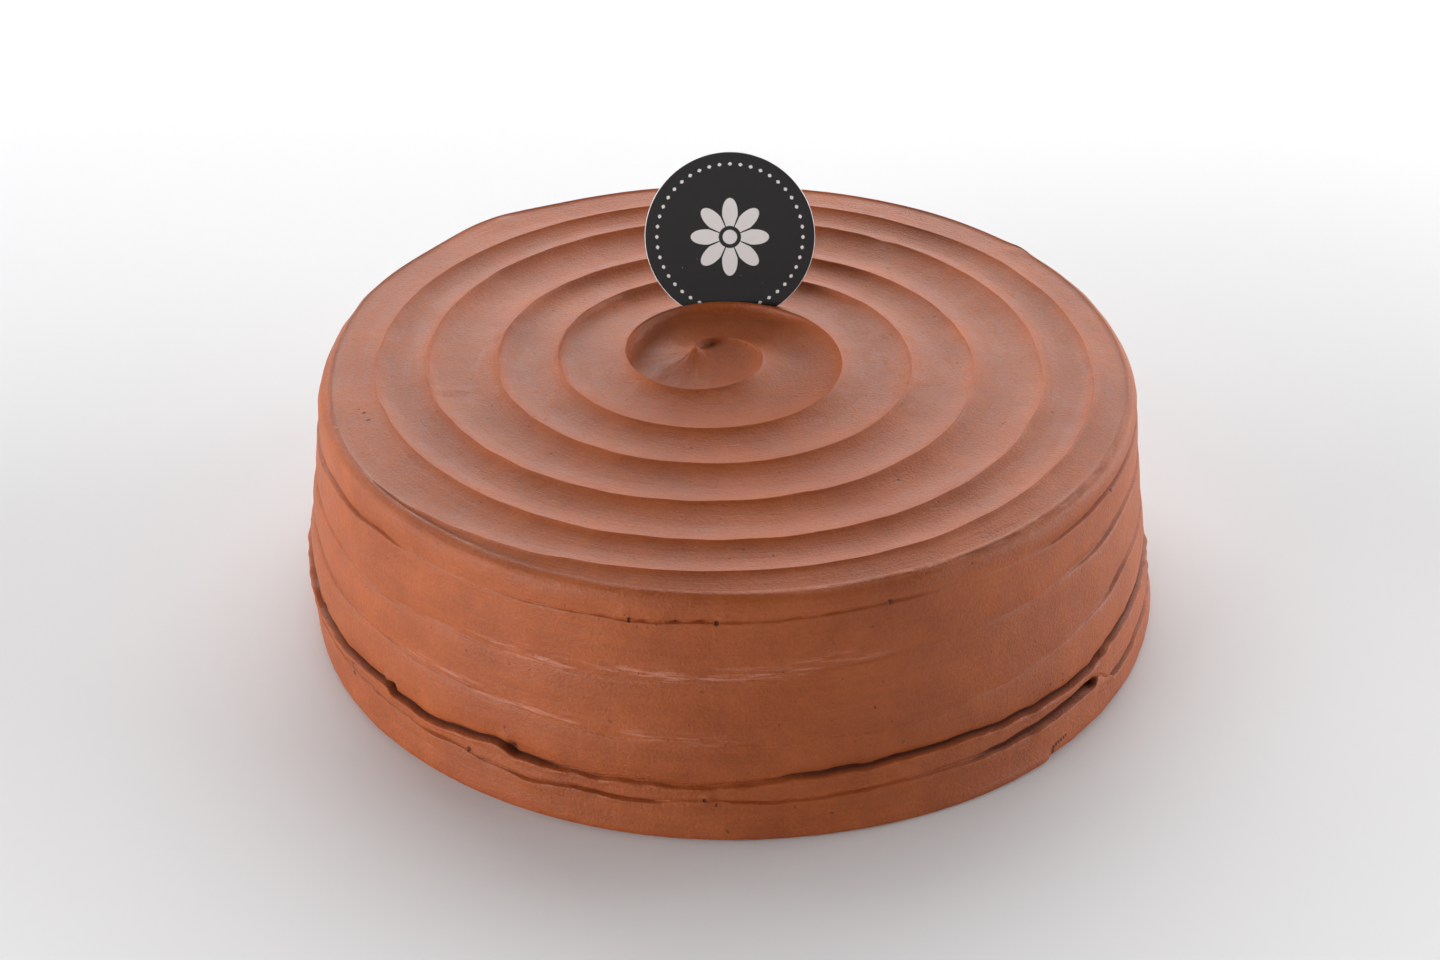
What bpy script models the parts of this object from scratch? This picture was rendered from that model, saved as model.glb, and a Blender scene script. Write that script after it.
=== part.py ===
"""Round chocolate cake under hand-spread chocolate buttercream, with a round tag stuck in its top.

The spatula left one spiral on the top, from the rim to a small peak beside the middle. It also left
bands round the side that meet in five lines: a groove, two soft steps, and two torn cracks near the
foot, the lowest one open at the front right. The cake is uncut, so it is one solid. Its resting
plane is z = 0, its middle is on the z axis, and the front is at -y. Angles are in degrees,
anticlockwise from +x seen from above.
"""
import math

import bmesh
import bpy
from mathutils import Euler, Vector

MM = 0.001

# Whole cake
HEIGHT = 72.6 * MM
TOP_RADIUS = 116.0 * MM
SHOULDER_RADIUS = 119.0 * MM
LIP_RADIUS = 126.6 * MM
LIP_HEIGHT = 16.0 * MM
FOOT_RADIUS = 127.8 * MM
SEGMENTS = 90

# Spiral on the top: distance of its crest from the middle at every quarter turn, from the rim in
CREST_START = -180
CREST_RADII = [
    radius * MM
    for radius in (
        117.5, 109.5, 107.2, 104.8,
        102.0, 95.0, 92.8, 91.4,
        87.3, 76.2, 72.8, 69.2,
        66.8, 57.2, 54.8, 53.8,
        49.0, 38.7, 35.8, 34.8,
        24.7, 21.2, 17.8, 4.5,
        0.0,
    )
]
QUARTER = 90
CREST_END = CREST_START + QUARTER * (len(CREST_RADII) - 1)
STRIP_START = -512
PEAK_X = -8.6 * MM
PEAK_Y = 6.0 * MM
PEAK_TURN_START = 1260
PEAK_RISE = 1.6 * MM
PEAK_REACH = 7.0 * MM
PEAK_SNAP = 0.5 * MM
SCALLOP_WIDTH = 19.5 * MM
SCALLOP_DEPTH = 2.5 * MM
SCALLOP_ROWS = 4
SCALLOP_MOST = 1.3
CREST_SWAY = 0.25 * MM
CREST_SWAY_PHASE = 40
RIM_DROP = 1.5 * MM
RIM_SNAP = 0.8 * MM
RIM_FADE = 7.0 * MM
# Unevenness of the rim in mm: size, times round the cake, phase
RIM_WAVES = (
    (1.1, 1, 100),
    (0.35, 3, 20),
    (0.2, 7, 65),
)
# The rim stands up along the back, and bulges at the back left
RIM_BACK_RISE = 1.8 * MM
RIM_BACK_OUT = 1.0 * MM
RIM_BACK_START = -0.1
RIM_BACK_FULL = 0.8
BULGE_ANGLE = 130.0
BULGE_WIDTH = 9.0
BULGE_OUT = 3.0 * MM
# The outermost scallop runs out flat along the rim, less so at the front, from the spiral's start
RIM_BAND_END = -160.0
RIM_BAND_FADE = 60.0
RIM_BAND_DEPTH = 0.3
RIM_BAND_FRONT = 0.2
FRONT_BAND_START = -300.0
FRONT_BAND_FADE = 90.0
# The innermost scallop falls steeply from its crest at the left
WALL_START = 1470.0
WALL_END = 1740.0
WALL_FADE = 95.0
WALL_LEAN = 0.42
WALL_DEEPER = 0.3

# Rows under the rim: how far below it, and their share of the way out to the shoulder
RIM_ROUND = (
    (0.6 * MM, 0.45),
    (2.2 * MM, 0.9),
)
# The five lines where bands of the side meet, from the top down: marks of angle and height in mm
GROOVE = (
    (-170, 57.0), (-135, 61.6), (-90, 63.8), (-60, 64.6), (-30, 63.4), (0, 63.0), (90, 63.2), (140, 60.4),
)
HIGH_STEP = (
    (-165, 42.8), (-120, 44.9), (-86, 46.8), (-72, 49.2), (-20, 50.8), (50, 47.6), (110, 46.0), (150, 43.0),
)
LOW_STEP = (
    (-165, 29.8), (-140, 31.1), (-88, 27.6), (-62, 28.4), (-20, 34.2), (40, 30.5), (90, 28.4), (140, 28.2),
)
HIGH_CRACK = (
    (-168, 20.6), (-152, 17.2), (-139, 19.0), (-130, 16.6), (-119, 19.1), (-103, 15.8), (-88, 16.5),
    (-72, 19.3), (-40, 17.0), (-26, 19.5), (45, 15.6), (80, 17.4), (115, 15.6), (150, 18.2),
)
LOW_CRACK = (
    (-175, 11.6), (-140, 12.7), (-115, 10.7), (-92, 12.3), (-60, 11.8), (-36, 12.4), (-32, 9.4),
    (-20, 10.5), (50, 9.0), (110, 10.4),
)
# Rows across a line in mm: offset up from it, and how far the icing stands out there
GROOVE_ROWS = ((4.0, 0.1), (1.0, -0.2), (0.1, -0.7), (-0.5, 0.2), (-3.0, 0.1))
STEP_ROWS = ((5.5, 0.1), (1.6, 0.5), (0.5, 0.1), (-0.6, -0.7), (-4.5, -0.1))
CRACK_ROWS = ((3.0, 0.1), (0.9, -0.7), (0.0, -1.9), (-0.5, 0.4), (-3.0, 0.1))
OPEN_ROWS = ((2.4, 0.1), (0.7, -0.1), (0.0, -1.0), (-0.5, 0.3), (-3.0, 0.1))
SIDE_LINES = (
    (GROOVE, GROOVE_ROWS),
    (HIGH_STEP, STEP_ROWS),
    (LOW_STEP, STEP_ROWS),
    (HIGH_CRACK, CRACK_ROWS),
    (LOW_CRACK, OPEN_ROWS),
)
LINE_ROWS = 5
# The lowest line gapes between these angles, wider towards the right; sizes in mm
GAPE_START = -72.0
GAPE_END = -36.0
GAPE_CLOSE = 4.0
GAPE_HEIGHT = 1.8
GAPE_DEPTH = 1.4
# Rows near the foot: height, and how far the icing stands out, in mm
FOOT_ROWS = (
    (2.0, 0.25),
    (0.4, -0.2),
    (0.0, -0.9),
)
# Where two lines run near each other their rows are drawn in, all but the nearest mm
NEAR_REACH = 1.0
NEAR_DISTANCE = 2.0
FREE_DISTANCE = 7.0
NEAR_LEAST = 0.1
# The lines are a little uneven: size, times round the cake, and change of phase from line to line
LINE_WAVES = (
    (0.15, 11, 70),
    (0.25, 5, 110),
)
LINE_STRENGTH = 0.2
STRENGTH_COUNT = 3
STRENGTH_PHASE = 95

# The flank widens a little more towards the foot, leans to the right, and its foot is uneven
FLANK_BEND = 1.15
FOOT_BEND = 1.5
FLANK_TO_RIGHT = 0.9 * MM
FOOT_TO_FRONT_RIGHT = 3.0 * MM
FOOT_PHASE = 145
FOOT_SET_BACK = 2.4 * MM
SET_BACK_ANGLE = 188
SET_BACK_WIDTH = 28
# A tongue of icing at the front right of the foot, which ends torn
TONGUE = 2.0 * MM
TONGUE_START = -84.0
TONGUE_FADE = 32.0
TONGUE_END = -44.0

# Round tag, leaning back behind the crest nearest the middle
TAG_RADIUS = 25.9 * MM
TAG_THICKNESS = 1.2 * MM
TAG_CENTRE = Vector((1.7, 42.9, 91.3)) * MM
TAG_LEAN = 18.0
TAG_SEGMENTS = 64
TAG_EDGE_ROUND = 0.2 * MM
SLOT_GAP = 0.3 * MM

ICING_COLOUR = (0.22, 0.075, 0.042, 1.0)
TAG_COLOUR = (0.025, 0.025, 0.027, 1.0)


def smooth_step(value):
    """Ease from 0 to 1 as value goes from 0 to 1."""
    value = min(max(value, 0.0), 1.0)
    return value * value * (3.0 - 2.0 * value)


def wave(angle, count, phase):
    """A sine that repeats count times round the cake."""
    return math.sin(math.radians(count * angle + phase))


def signed_angle(angle, middle):
    """Angle from middle, between -180 and 180."""
    return (angle - middle + 180.0) % 360.0 - 180.0


def at_back(angle):
    """1 along the back of the cake and 0 at its front and sides."""
    return smooth_step((wave(angle, 1, 0) - RIM_BACK_START) / (RIM_BACK_FULL - RIM_BACK_START))


def rim_radius(angle):
    """Radius at which the top turns down into the side, a little uneven as spread by hand."""
    sway = sum(size * wave(angle, count, phase) for size, count, phase in RIM_WAVES)
    bulge = BULGE_OUT * math.exp(-(signed_angle(angle, BULGE_ANGLE) / BULGE_WIDTH) ** 2)
    return TOP_RADIUS + sway * MM + RIM_BACK_OUT * at_back(angle) + bulge


def crest_radius(turn):
    """Radius of the spiral's crest after turn degrees, by a smooth curve through the quarter turns."""
    place = min(max((turn - CREST_START) / QUARTER, 0.0), len(CREST_RADII) - 1.0)
    index = min(int(place), len(CREST_RADII) - 2)
    part = place - index
    last = len(CREST_RADII) - 1
    before, start = CREST_RADII[max(index - 1, 0)], CREST_RADII[index]
    end, after = CREST_RADII[index + 1], CREST_RADII[min(index + 2, last)]
    start_slope = 0.5 * (end - before)
    end_slope = 0.5 * (after - start)
    square, cube = part ** 2, part ** 3
    return (
        (2 * cube - 3 * square + 1) * start
        + (cube - 2 * square + part) * start_slope
        + (3 * square - 2 * cube) * end
        + (cube - square) * end_slope
    )


def crest_point(turn):
    """Point on the spiral's crest after turn degrees; outside the rim it runs along the rim."""
    rim = rim_radius(turn)
    radius = crest_radius(turn)
    if rim - radius < RIM_SNAP or turn < CREST_START:
        radius = rim
    if turn >= CREST_END or radius < PEAK_SNAP:
        turn = CREST_END
        radius = 0.0
    drop = (RIM_DROP - RIM_BACK_RISE * at_back(turn)) * smooth_step(1.0 - (rim - radius) / RIM_FADE)
    shift = smooth_step((turn - PEAK_TURN_START) / (CREST_END - PEAK_TURN_START))
    angle = math.radians(turn % 360)
    uneven = CREST_SWAY * wave(turn, 2, CREST_SWAY_PHASE) * smooth_step((rim - radius) / RIM_FADE)
    return Vector((
        shift * PEAK_X + radius * math.cos(angle),
        shift * PEAK_Y + radius * math.sin(angle),
        HEIGHT - drop + uneven * (1.0 - shift),
    ))


def top_point(turn, across):
    """Point on the scallop between the crest at turn and the next crest further in."""
    outer = crest_point(turn)
    inner = crest_point(turn + 360)
    point = outer.lerp(inner, across)
    width = (inner - outer).length
    front = smooth_step((FRONT_BAND_START - turn) / FRONT_BAND_FADE)
    band = RIM_BAND_DEPTH + RIM_BAND_FRONT * front
    band += (1.0 - band) * smooth_step((turn - RIM_BAND_END) / RIM_BAND_FADE)
    wall = smooth_step((turn - WALL_START) / WALL_FADE) * smooth_step((WALL_END - turn) / WALL_FADE)
    depth = SCALLOP_DEPTH * band * (1.0 + WALL_DEEPER * wall) * min(width / SCALLOP_WIDTH, SCALLOP_MOST)
    place = across ** (1.0 - WALL_LEAN * wall)
    point.z -= depth * 4.0 * place * (1.0 - place)
    away = math.hypot(point.x - PEAK_X, point.y - PEAK_Y) / PEAK_REACH
    point.z += PEAK_RISE * max(1.0 - away, 0.0) ** 2
    return point


def through(angle, marks):
    """Value at this angle by easing from mark to mark of (angle, value), round and round the cake."""
    turned = [((mark - marks[0][0]) % 360, value) for mark, value in marks]
    turned.append((360, marks[0][1]))
    place = (angle - marks[0][0]) % 360
    for (start, first), (end, last) in zip(turned, turned[1:]):
        if place <= end:
            return first + (last - first) * smooth_step((place - start) / (end - start))
    return marks[0][1]


def flank_radius(angle, height):
    """Radius of the smooth side, which widens downwards and sits back at the left of the foot."""
    sideways = FLANK_TO_RIGHT * math.cos(math.radians(angle))
    lip = LIP_RADIUS + sideways
    if height > LIP_HEIGHT:
        part = (HEIGHT - height) / (HEIGHT - LIP_HEIGHT)
        return SHOULDER_RADIUS + sideways + (LIP_RADIUS - SHOULDER_RADIUS) * max(part, 0.0) ** FLANK_BEND
    foot = FOOT_RADIUS + FOOT_TO_FRONT_RIGHT * wave(angle, 1, FOOT_PHASE)
    foot -= FOOT_SET_BACK * math.exp(-(signed_angle(angle, SET_BACK_ANGLE) / SET_BACK_WIDTH) ** 2)
    past = signed_angle(angle, TONGUE_START)
    if 0.0 < past <= TONGUE_END - TONGUE_START:
        foot += TONGUE * smooth_step(past / TONGUE_FADE)
    part = height / LIP_HEIGHT
    return foot + (lip - foot) * part ** FOOT_BEND


def line_height(angle, line):
    """Height in mm of one of the five lines; line 5 is the foot and line -1 the rim."""
    if line < 0:
        return HEIGHT / MM
    if line >= len(SIDE_LINES):
        return 0.0
    uneven = sum(size * wave(angle, count, shift * line) for size, count, shift in LINE_WAVES)
    return through(angle, SIDE_LINES[line][0]) + uneven


def gape(angle):
    """How far the lowest line is open, from 0 to 1."""
    past = signed_angle(angle, GAPE_START)
    length = GAPE_END - GAPE_START
    if past < 0.0:
        return 0.0
    return min(past / length, 1.0) * (1.0 - smooth_step((past - length) / GAPE_CLOSE))


def line_point(angle, line, row):
    """Height and outward distance in mm of one row across a line of the side."""
    offset, out = SIDE_LINES[line][1][row]
    out *= 1.0 + LINE_STRENGTH * wave(angle, STRENGTH_COUNT, STRENGTH_PHASE * line)
    if line == len(SIDE_LINES) - 1:
        if offset > 0.0:
            offset += GAPE_HEIGHT * gape(angle)
        elif offset == 0.0:
            out -= GAPE_DEPTH * gape(angle)
            offset += 0.5 * GAPE_HEIGHT * gape(angle)
    here = line_height(angle, line)
    distance = line_height(angle, line - 1) - here if offset > 0.0 else here - line_height(angle, line + 1)
    room = min(max((distance - NEAR_DISTANCE) / FREE_DISTANCE, NEAR_LEAST), 1.0)
    far = max(abs(offset) - NEAR_REACH, 0.0)
    near = min(abs(offset), NEAR_REACH)
    return here + math.copysign(near + far * room, offset), out


def side_point(angle, row):
    """Point of the side in one row: 0 is the rim, then its round, the rows of each line, and the foot."""
    direction = Vector((math.cos(math.radians(angle)), math.sin(math.radians(angle)), 0.0))
    rim = crest_point(angle - 720)
    if row == 0:
        return rim
    row -= 1
    if row < len(RIM_ROUND):
        drop, share = RIM_ROUND[row]
        rim_distance = rim.to_2d().length
        radius = rim_distance + (flank_radius(angle, rim.z - drop) - rim_distance) * share
        return direction * radius + Vector((0, 0, rim.z - drop))
    row -= len(RIM_ROUND)
    if row < LINE_ROWS * len(SIDE_LINES):
        level, out = line_point(angle, row // LINE_ROWS, row % LINE_ROWS)
    else:
        level, out = FOOT_ROWS[row - LINE_ROWS * len(SIDE_LINES)]
    return direction * (flank_radius(angle, level * MM) + out * MM) + Vector((0, 0, level * MM))


def add_strip(mesh, steps, rows, place):
    """Add a grid of steps by rows faces and put each of its points where place says."""
    made = bmesh.ops.create_grid(mesh, x_segments=steps, y_segments=rows, size=0.5)
    for vertex in made["verts"]:
        step = round((vertex.co.x + 0.5) * steps)
        row = round((vertex.co.y + 0.5) * rows)
        vertex.co = place(step, row)


def new_material(name, colour, roughness):
    material = bpy.data.materials.new(name)
    material.use_nodes = True
    shader = material.node_tree.nodes["Principled BSDF"]
    shader.inputs["Base Color"].default_value = colour
    shader.inputs["Roughness"].default_value = roughness
    shader.inputs["Metallic"].default_value = 0.0
    return material


def new_object(name, mesh, collection):
    """Turn the bmesh into a named object with its faces pointing out."""
    bmesh.ops.recalc_face_normals(mesh, faces=mesh.faces)
    data = bpy.data.meshes.new(name)
    mesh.to_mesh(data)
    mesh.free()
    thing = bpy.data.objects.new(name, data)
    collection.objects.link(thing)
    return thing


def new_disc(name, radius, thickness, collection):
    """A disc that faces the front and leans back, about its centre."""
    mesh = bmesh.new()
    bmesh.ops.create_cone(
        mesh, cap_ends=True, segments=TAG_SEGMENTS, radius1=radius, radius2=radius, depth=thickness
    )
    disc = new_object(name, mesh, collection)
    disc.location = TAG_CENTRE
    disc.rotation_euler = Euler((math.radians(90.0 - TAG_LEAN), 0.0, 0.0))
    return disc


def make_cake(collection, cutters):
    """The iced cake: the spiral top, the banded side and the flat underside, with the tag's slot."""
    mesh = bmesh.new()
    step = 360 // SEGMENTS
    add_strip(
        mesh,
        (CREST_END - STRIP_START) // step,
        SCALLOP_ROWS,
        lambda i, j: top_point(STRIP_START + i * step, j / SCALLOP_ROWS),
    )
    add_strip(
        mesh,
        SEGMENTS,
        len(RIM_ROUND) + LINE_ROWS * len(SIDE_LINES) + len(FOOT_ROWS),
        lambda i, j: side_point((i % SEGMENTS) * step, j),
    )
    bmesh.ops.remove_doubles(mesh, verts=mesh.verts, dist=0.00001)
    bmesh.ops.holes_fill(mesh, edges=mesh.edges, sides=SEGMENTS)
    cake = new_object("cake", mesh, collection)
    cake.data.materials.append(new_material("chocolate_icing", ICING_COLOUR, 0.5))

    slot = new_disc("slot_cutter", TAG_RADIUS + SLOT_GAP, TAG_THICKNESS + 2.0 * SLOT_GAP, cutters)
    slot.hide_render = True
    slot.display_type = "WIRE"
    cut = cake.modifiers.new("tag slot", "BOOLEAN")
    cut.operation = "DIFFERENCE"
    cut.object = slot


def make_topper(collection):
    """The round tag, a thin disc with slightly rounded edges."""
    tag = new_disc("topper", TAG_RADIUS, TAG_THICKNESS, collection)
    edge = tag.modifiers.new("rounded edge", "BEVEL")
    edge.width = TAG_EDGE_ROUND
    edge.segments = 1
    tag.data.materials.append(new_material("tag_black", TAG_COLOUR, 0.4))


def main():
    for thing in list(bpy.data.objects):
        bpy.data.objects.remove(thing, do_unlink=True)
    parts = bpy.data.collections.new("chocolate_cake")
    cutters = bpy.data.collections.new("cutters")
    bpy.context.scene.collection.children.link(parts)
    bpy.context.scene.collection.children.link(cutters)
    make_cake(parts, cutters)
    make_topper(parts)


main()
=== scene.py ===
"""Looks of the round chocolate cake: its spread buttercream, the tag in its top, light and camera.

The icing is worked out in millimetres and turned into metres with its mesh. Everything else is in
metres. Angles are in degrees, anticlockwise from +x seen from above, so the front, which faces the
camera, is at -90. A span round the cake is (from, to, fade).
"""

import math

import bmesh
import bpy
import numpy as np
from mathutils import Euler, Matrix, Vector


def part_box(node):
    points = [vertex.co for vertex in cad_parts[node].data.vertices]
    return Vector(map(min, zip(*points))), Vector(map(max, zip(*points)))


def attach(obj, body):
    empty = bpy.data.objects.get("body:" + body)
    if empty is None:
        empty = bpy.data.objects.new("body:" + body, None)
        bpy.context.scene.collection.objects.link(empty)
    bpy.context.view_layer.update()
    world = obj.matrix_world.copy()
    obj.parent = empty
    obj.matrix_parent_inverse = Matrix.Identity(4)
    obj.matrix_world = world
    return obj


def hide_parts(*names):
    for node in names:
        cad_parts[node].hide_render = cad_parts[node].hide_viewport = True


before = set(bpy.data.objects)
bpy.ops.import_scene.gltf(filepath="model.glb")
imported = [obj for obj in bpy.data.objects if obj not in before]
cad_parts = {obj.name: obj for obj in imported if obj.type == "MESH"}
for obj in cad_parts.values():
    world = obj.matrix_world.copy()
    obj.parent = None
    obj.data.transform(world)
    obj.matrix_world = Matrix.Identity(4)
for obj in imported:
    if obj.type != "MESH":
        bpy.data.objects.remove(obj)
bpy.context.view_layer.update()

MM = 0.001

# Whole cake, as in the solid
HEIGHT = 72.6
TOP_RADIUS = 116.0
SHOULDER_RADIUS = 119.0
SHOULDER_HEIGHT = 68.5
LIP_RADIUS = 126.6
LIP_HEIGHT = 16.0
FOOT_RADIUS = 127.8

# Columns of the mesh round the cake, closer on the side that faces the camera, and rows of its grids
ANGLES = np.concatenate((
    np.linspace(-187.0, 7.0, 440, endpoint=False),
    np.linspace(7.0, 173.0, 160, endpoint=False),
))
COLUMNS = len(ANGLES)
SCALLOP_SHARES = (0.0, 0.011, 0.05, 0.17, 0.36, 0.6, 0.81, 0.94, 0.987, 1.0)
SIDE_ROW = 1.5
WELD_DISTANCE = 0.02
LEAST_EDGE = 0.002

# Rim: size, count round the cake and phase of the waves in it, and its drop below the crests
RIM_WAVES = (
    (1.1, 1, 100),
    (0.35, 3, 20),
    (0.2, 7, 65),
)
RIM_DROP = 0.9
RIM_ROLL = 0.6
RIM_ROLL_WIDTH = 2.2
RIM_SNAP = 0.12
RIM_FADE = 7.0

# Rim at the back, where it stands up and out and bends down less
BACK_START = -0.1
BACK_FADE = 0.9
RIM_BACK_OUT = 1.0
RIM_BACK_RISE = 1.5
RIM_BACK_FLATTER = 0.5

# Bulges and a flake in the rim at the back: angle, width in degrees and how far out
RIM_BULGES = (
    (130.0, 9.0, 3.0),
    (157.0, 14.0, 1.3),
    (37.5, 2.2, 1.0),
)

# Spiral on the top, in mm: distance of its crest from the middle at every quarter turn, from the rim
CREST_START = -180.0
QUARTER = 90.0
CREST_RADII = np.array((
    117.5, 109.5, 107.2, 104.8,
    102.0, 95.0, 92.8, 91.4,
    87.3, 76.2, 72.8, 69.2,
    66.8, 57.2, 54.8, 53.8,
    49.0, 38.7, 35.8, 33.6,
    24.7, 21.2, 17.8, 4.5,
    0.0,
))
CREST_END = CREST_START + QUARTER * (len(CREST_RADII) - 1)
STRIP_TURNS = range(-1, 7)

# Crest: its sway, the thin lip along it, and how ragged it is away from the middle
CREST_SWAY = 0.25
CREST_SWAY_PHASE = 40
CREST_BURR = 0.38
CREST_BURR_WIDTH = 0.32
CREST_RAG = 0.12
CREST_RAG_STRETCH = 7.0 / 6.0
CREST_RAG_START = 20.0
CREST_RAG_FADE = 60.0

# Peak beside the middle, where the spiral ends
PEAK = (-8.6, 6.0)
PEAK_TURN_START = 1260.0
PEAK_RISE = 1.5
PEAK_REACH = 5.0
PEAK_SNAP = 0.5

# Hollow between two crests, shallower in the band along the rim
SCALLOP_WIDTH = 19.5
SCALLOP_DEPTH = 2.5
SCALLOP_MOST = 1.2
RIM_BAND_END = -160.0
RIM_BAND_FADE = 60.0
RIM_BAND_DEPTH = 0.3
RIM_BAND_FRONT = 0.2
FRONT_BAND_START = -300.0
FRONT_BAND_FADE = 90.0

# Innermost hollow at the left, where it is deeper and leans outwards: turns at which that comes and goes
LEFT_WALL_START = 1535.0
LEFT_WALL_COMES = 70.0
LEFT_WALL_END = 1740.0
LEFT_WALL_GOES = 90.0
LEFT_WALL_LEAN = 0.5
LEFT_WALL_DEEPER = 0.5

# Steep wall behind the crests at the back left, strongest near the middle
WALL_SPAN = (45, 195, 30)
WALL_DROP = 0.9
WALL_EDGE = 0.9
WALL_REACH = 4.5
WALL_FADE = 20.0
WALL_OUTER_END = 100.0
WALL_STRONGER = 1.5
WALL_STRONGER_END = 60.0
WALL_STRONGER_FADE = 15.0

# Uneven patches on the top: height, distance over which they fade in from crest and rim, their start
# across the spiral, and their seed, number round the cake and size
TOP_PATCH_HEIGHT = 0.07
TOP_PATCH_FROM_CREST = 3.0
TOP_PATCH_FROM_RIM = 2.0
TOP_PATCH_START = 300.0
TOP_PATCHES = (23, 36, 6.0)
PATCH_ROWS = 64
PATCH_GAIN = 1.6

# Pinholes, bumps and a tear on the top, in mm: distance from the middle, angle, half length round
# the cake, half width, and how high
TOP_SPOTS = (
    (79.2, -169.7, 1.6, 3.2, 0.35),
    (81.5, -167.0, 1.2, 2.2, -0.3),
    (61.2, 127.2, 0.9, 0.9, 0.8),
    (58.0, 130.5, 0.8, 0.8, 0.45),
    (92.9, 57.0, 4.5, 0.9, -0.9),
    (94.6, 57.0, 4.0, 0.8, 0.3),
    (116.5, 37.0, 2.6, 1.4, 0.8),
    (116.5, 128.0, 3.5, 1.8, 0.6),
    (7.0, 123.0, 1.3, 1.0, -0.9),
    (6.8, 99.0, 1.2, 0.7, 0.5),
)

# Side: it leans to the right, widens downwards, and its foot lies to the front right of the rest,
# set back at the left and with a low tongue that ends at the front right
FLANK_TO_RIGHT = 0.9
FLANK_BEND = 1.15
FOOT_BEND = 1.5
FOOT_SHIFT = 3.0
FOOT_SHIFT_PHASE = 145
SET_BACK = 2.4
SET_BACK_ANGLE = 188.0
SET_BACK_WIDTH = 28.0
TONGUE_OUT = 1.1
TONGUE_START = -84.0
TONGUE_GROWS = 32.0
TONGUE_END = -46.3
TONGUE_EDGE = 1.2
TONGUE_FLAT = 0.5
TONGUE_FADE = 2.5

# Heights in mm of the five lines round the side; the marks from 10 to 165 are on the unseen back
LINE_1 = (
    (-188, 56.0), (-168, 57.3), (-152, 59.9), (-140, 61.4), (-123, 62.3), (-100, 63.0), (-92, 63.8),
    (-68, 65.1), (-54, 64.2), (-37, 63.4), (-20, 63.5), (0, 63.0), (40, 62.5), (90, 63.2), (135, 60.5),
)
LINE_2 = (
    (-188, 42.0), (-160, 43.2), (-148, 43.8), (-116, 45.1), (-98, 46.0), (-86, 46.8), (-76, 49.0),
    (-55, 49.6), (-37, 50.2), (-20, 50.9), (8, 49.6), (60, 47.2), (110, 46.0), (145, 43.0),
)
LINE_3 = (
    (-188, 29.4), (-165, 29.9), (-147, 30.4), (-141, 31.1), (-129, 30.5), (-116, 29.4), (-104, 28.1),
    (-86, 27.6), (-62, 28.4), (-44, 30.4), (-31, 32.2), (-19, 34.3), (0, 33.2), (40, 30.5), (90, 28.4),
    (135, 28.0),
)
LINE_4 = (
    (-188, 20.5), (-169, 20.6), (-163, 19.8), (-159, 17.7), (-150, 17.1), (-143, 18.2), (-139, 19.2),
    (-136, 17.1), (-130, 16.6), (-124, 17.9), (-119, 19.3), (-116, 17.2), (-109, 16.1), (-102, 15.7),
    (-95, 16.0), (-88, 16.5), (-80, 18.7), (-72, 19.4), (-61, 19.3), (-53, 18.7), (-45, 17.9),
    (-38, 17.0), (-31, 18.9), (-27, 19.5), (-20, 19.3), (10, 17.6), (45, 15.6), (80, 17.4),
    (115, 15.6), (145, 18.2),
)
LINE_5 = (
    (-188, 11.4), (-150, 12.6), (-138, 12.7), (-131, 12.1), (-125, 12.7), (-119, 11.1), (-115, 10.6),
    (-108, 11.8), (-98, 11.2), (-92, 12.5), (-84, 11.6), (-69, 12.1), (-60, 11.7), (-48, 12.0),
    (-36, 12.4), (-34.8, 12.2), (-32.6, 9.3), (-27, 9.8), (-20, 10.6), (10, 9.6), (35, 9.0), (75, 8.8),
    (110, 10.4), (145, 9.6),
)

# Uneven wobbles: seed, fewest and most waves round the cake, and how fast the finer ones shrink
CREST_RAG_RIPPLE = (18, 6, 42, 0.6)
FINE_RIPPLE = (11, 20, 110, 0.4)
BITS_RIPPLE = (12, 24, 120, 0.3)
LOW_BITS_RIPPLE = (15, 18, 90, 0.3)
STRENGTH_RIPPLE = (7, 3, 14)
TORN_RIPPLE = (9, 30, 140, 0.3)
BROKEN_RIPPLE = (14, 6, 30, 0.5)
CREASE_RIPPLE = (16, 10, 60, 0.4)
UNEVEN_RIPPLE = (17, 8, 50, 0.6)
LINES = (
    (LINE_1, 0.15, (1, 9, 60)),
    (LINE_2, 0.3, (2, 8, 40)),
    (LINE_3, 0.3, (3, 8, 40)),
    (LINE_4, 0.15, (4, 14, 90, 0.7)),
    (LINE_5, 0.12, (5, 14, 90, 0.7)),
)
FINE_SIZE = 0.12
TORN_SIZE = 0.16
BITS_MOST = 1.6

# Line 1: a faint and two clear tears, and a step at both sides and at the back
FAINT_TEAR_1 = (-118, -62, 8)
TEARS_1 = ((-103.5, -88.5, 3), (20, 75, 10))
STEPS_1 = ((-180, -139, 10), (-44, 6, 14), (100, 165, 14))
# Lines 2 and 3: a fainter step at the left, clear ones at the right and back, and smears in front
LEFT_STEP_2 = (-188, -125, 24)
STEPS_2 = ((-40, 30, 16), (90, 170, 24))
SMEARS_2 = ((-120, -74, 8), (40, 80, 10))
LEFT_STEP_3 = (-188, -128, 20)
STEPS_3 = ((-34, 30, 16), (90, 170, 24))
SMEARS_3 = ((-132, -92, 10), (110, 150, 10))
CLEAR_AT_RIGHT = (-38, 30, 16)
# Line 4: deeper tears at the left and the right
LEFT_TEAR_4 = (-168, -112, 8)
RIGHT_TEAR_4 = (-82, 20, 12)
# Line 5: broken in front and at the back, widening to an opening, with the next stretch lower down
BROKEN_5 = ((-131, -69, 6), (17, 172, 6))
OPENING_5 = (-80, -35.6, 1.6)
OPENING_START = -72.0
OPENING_GROWS = 34.0
NEXT_STRETCH_5 = (-31.6, 16, 0.7)

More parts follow.
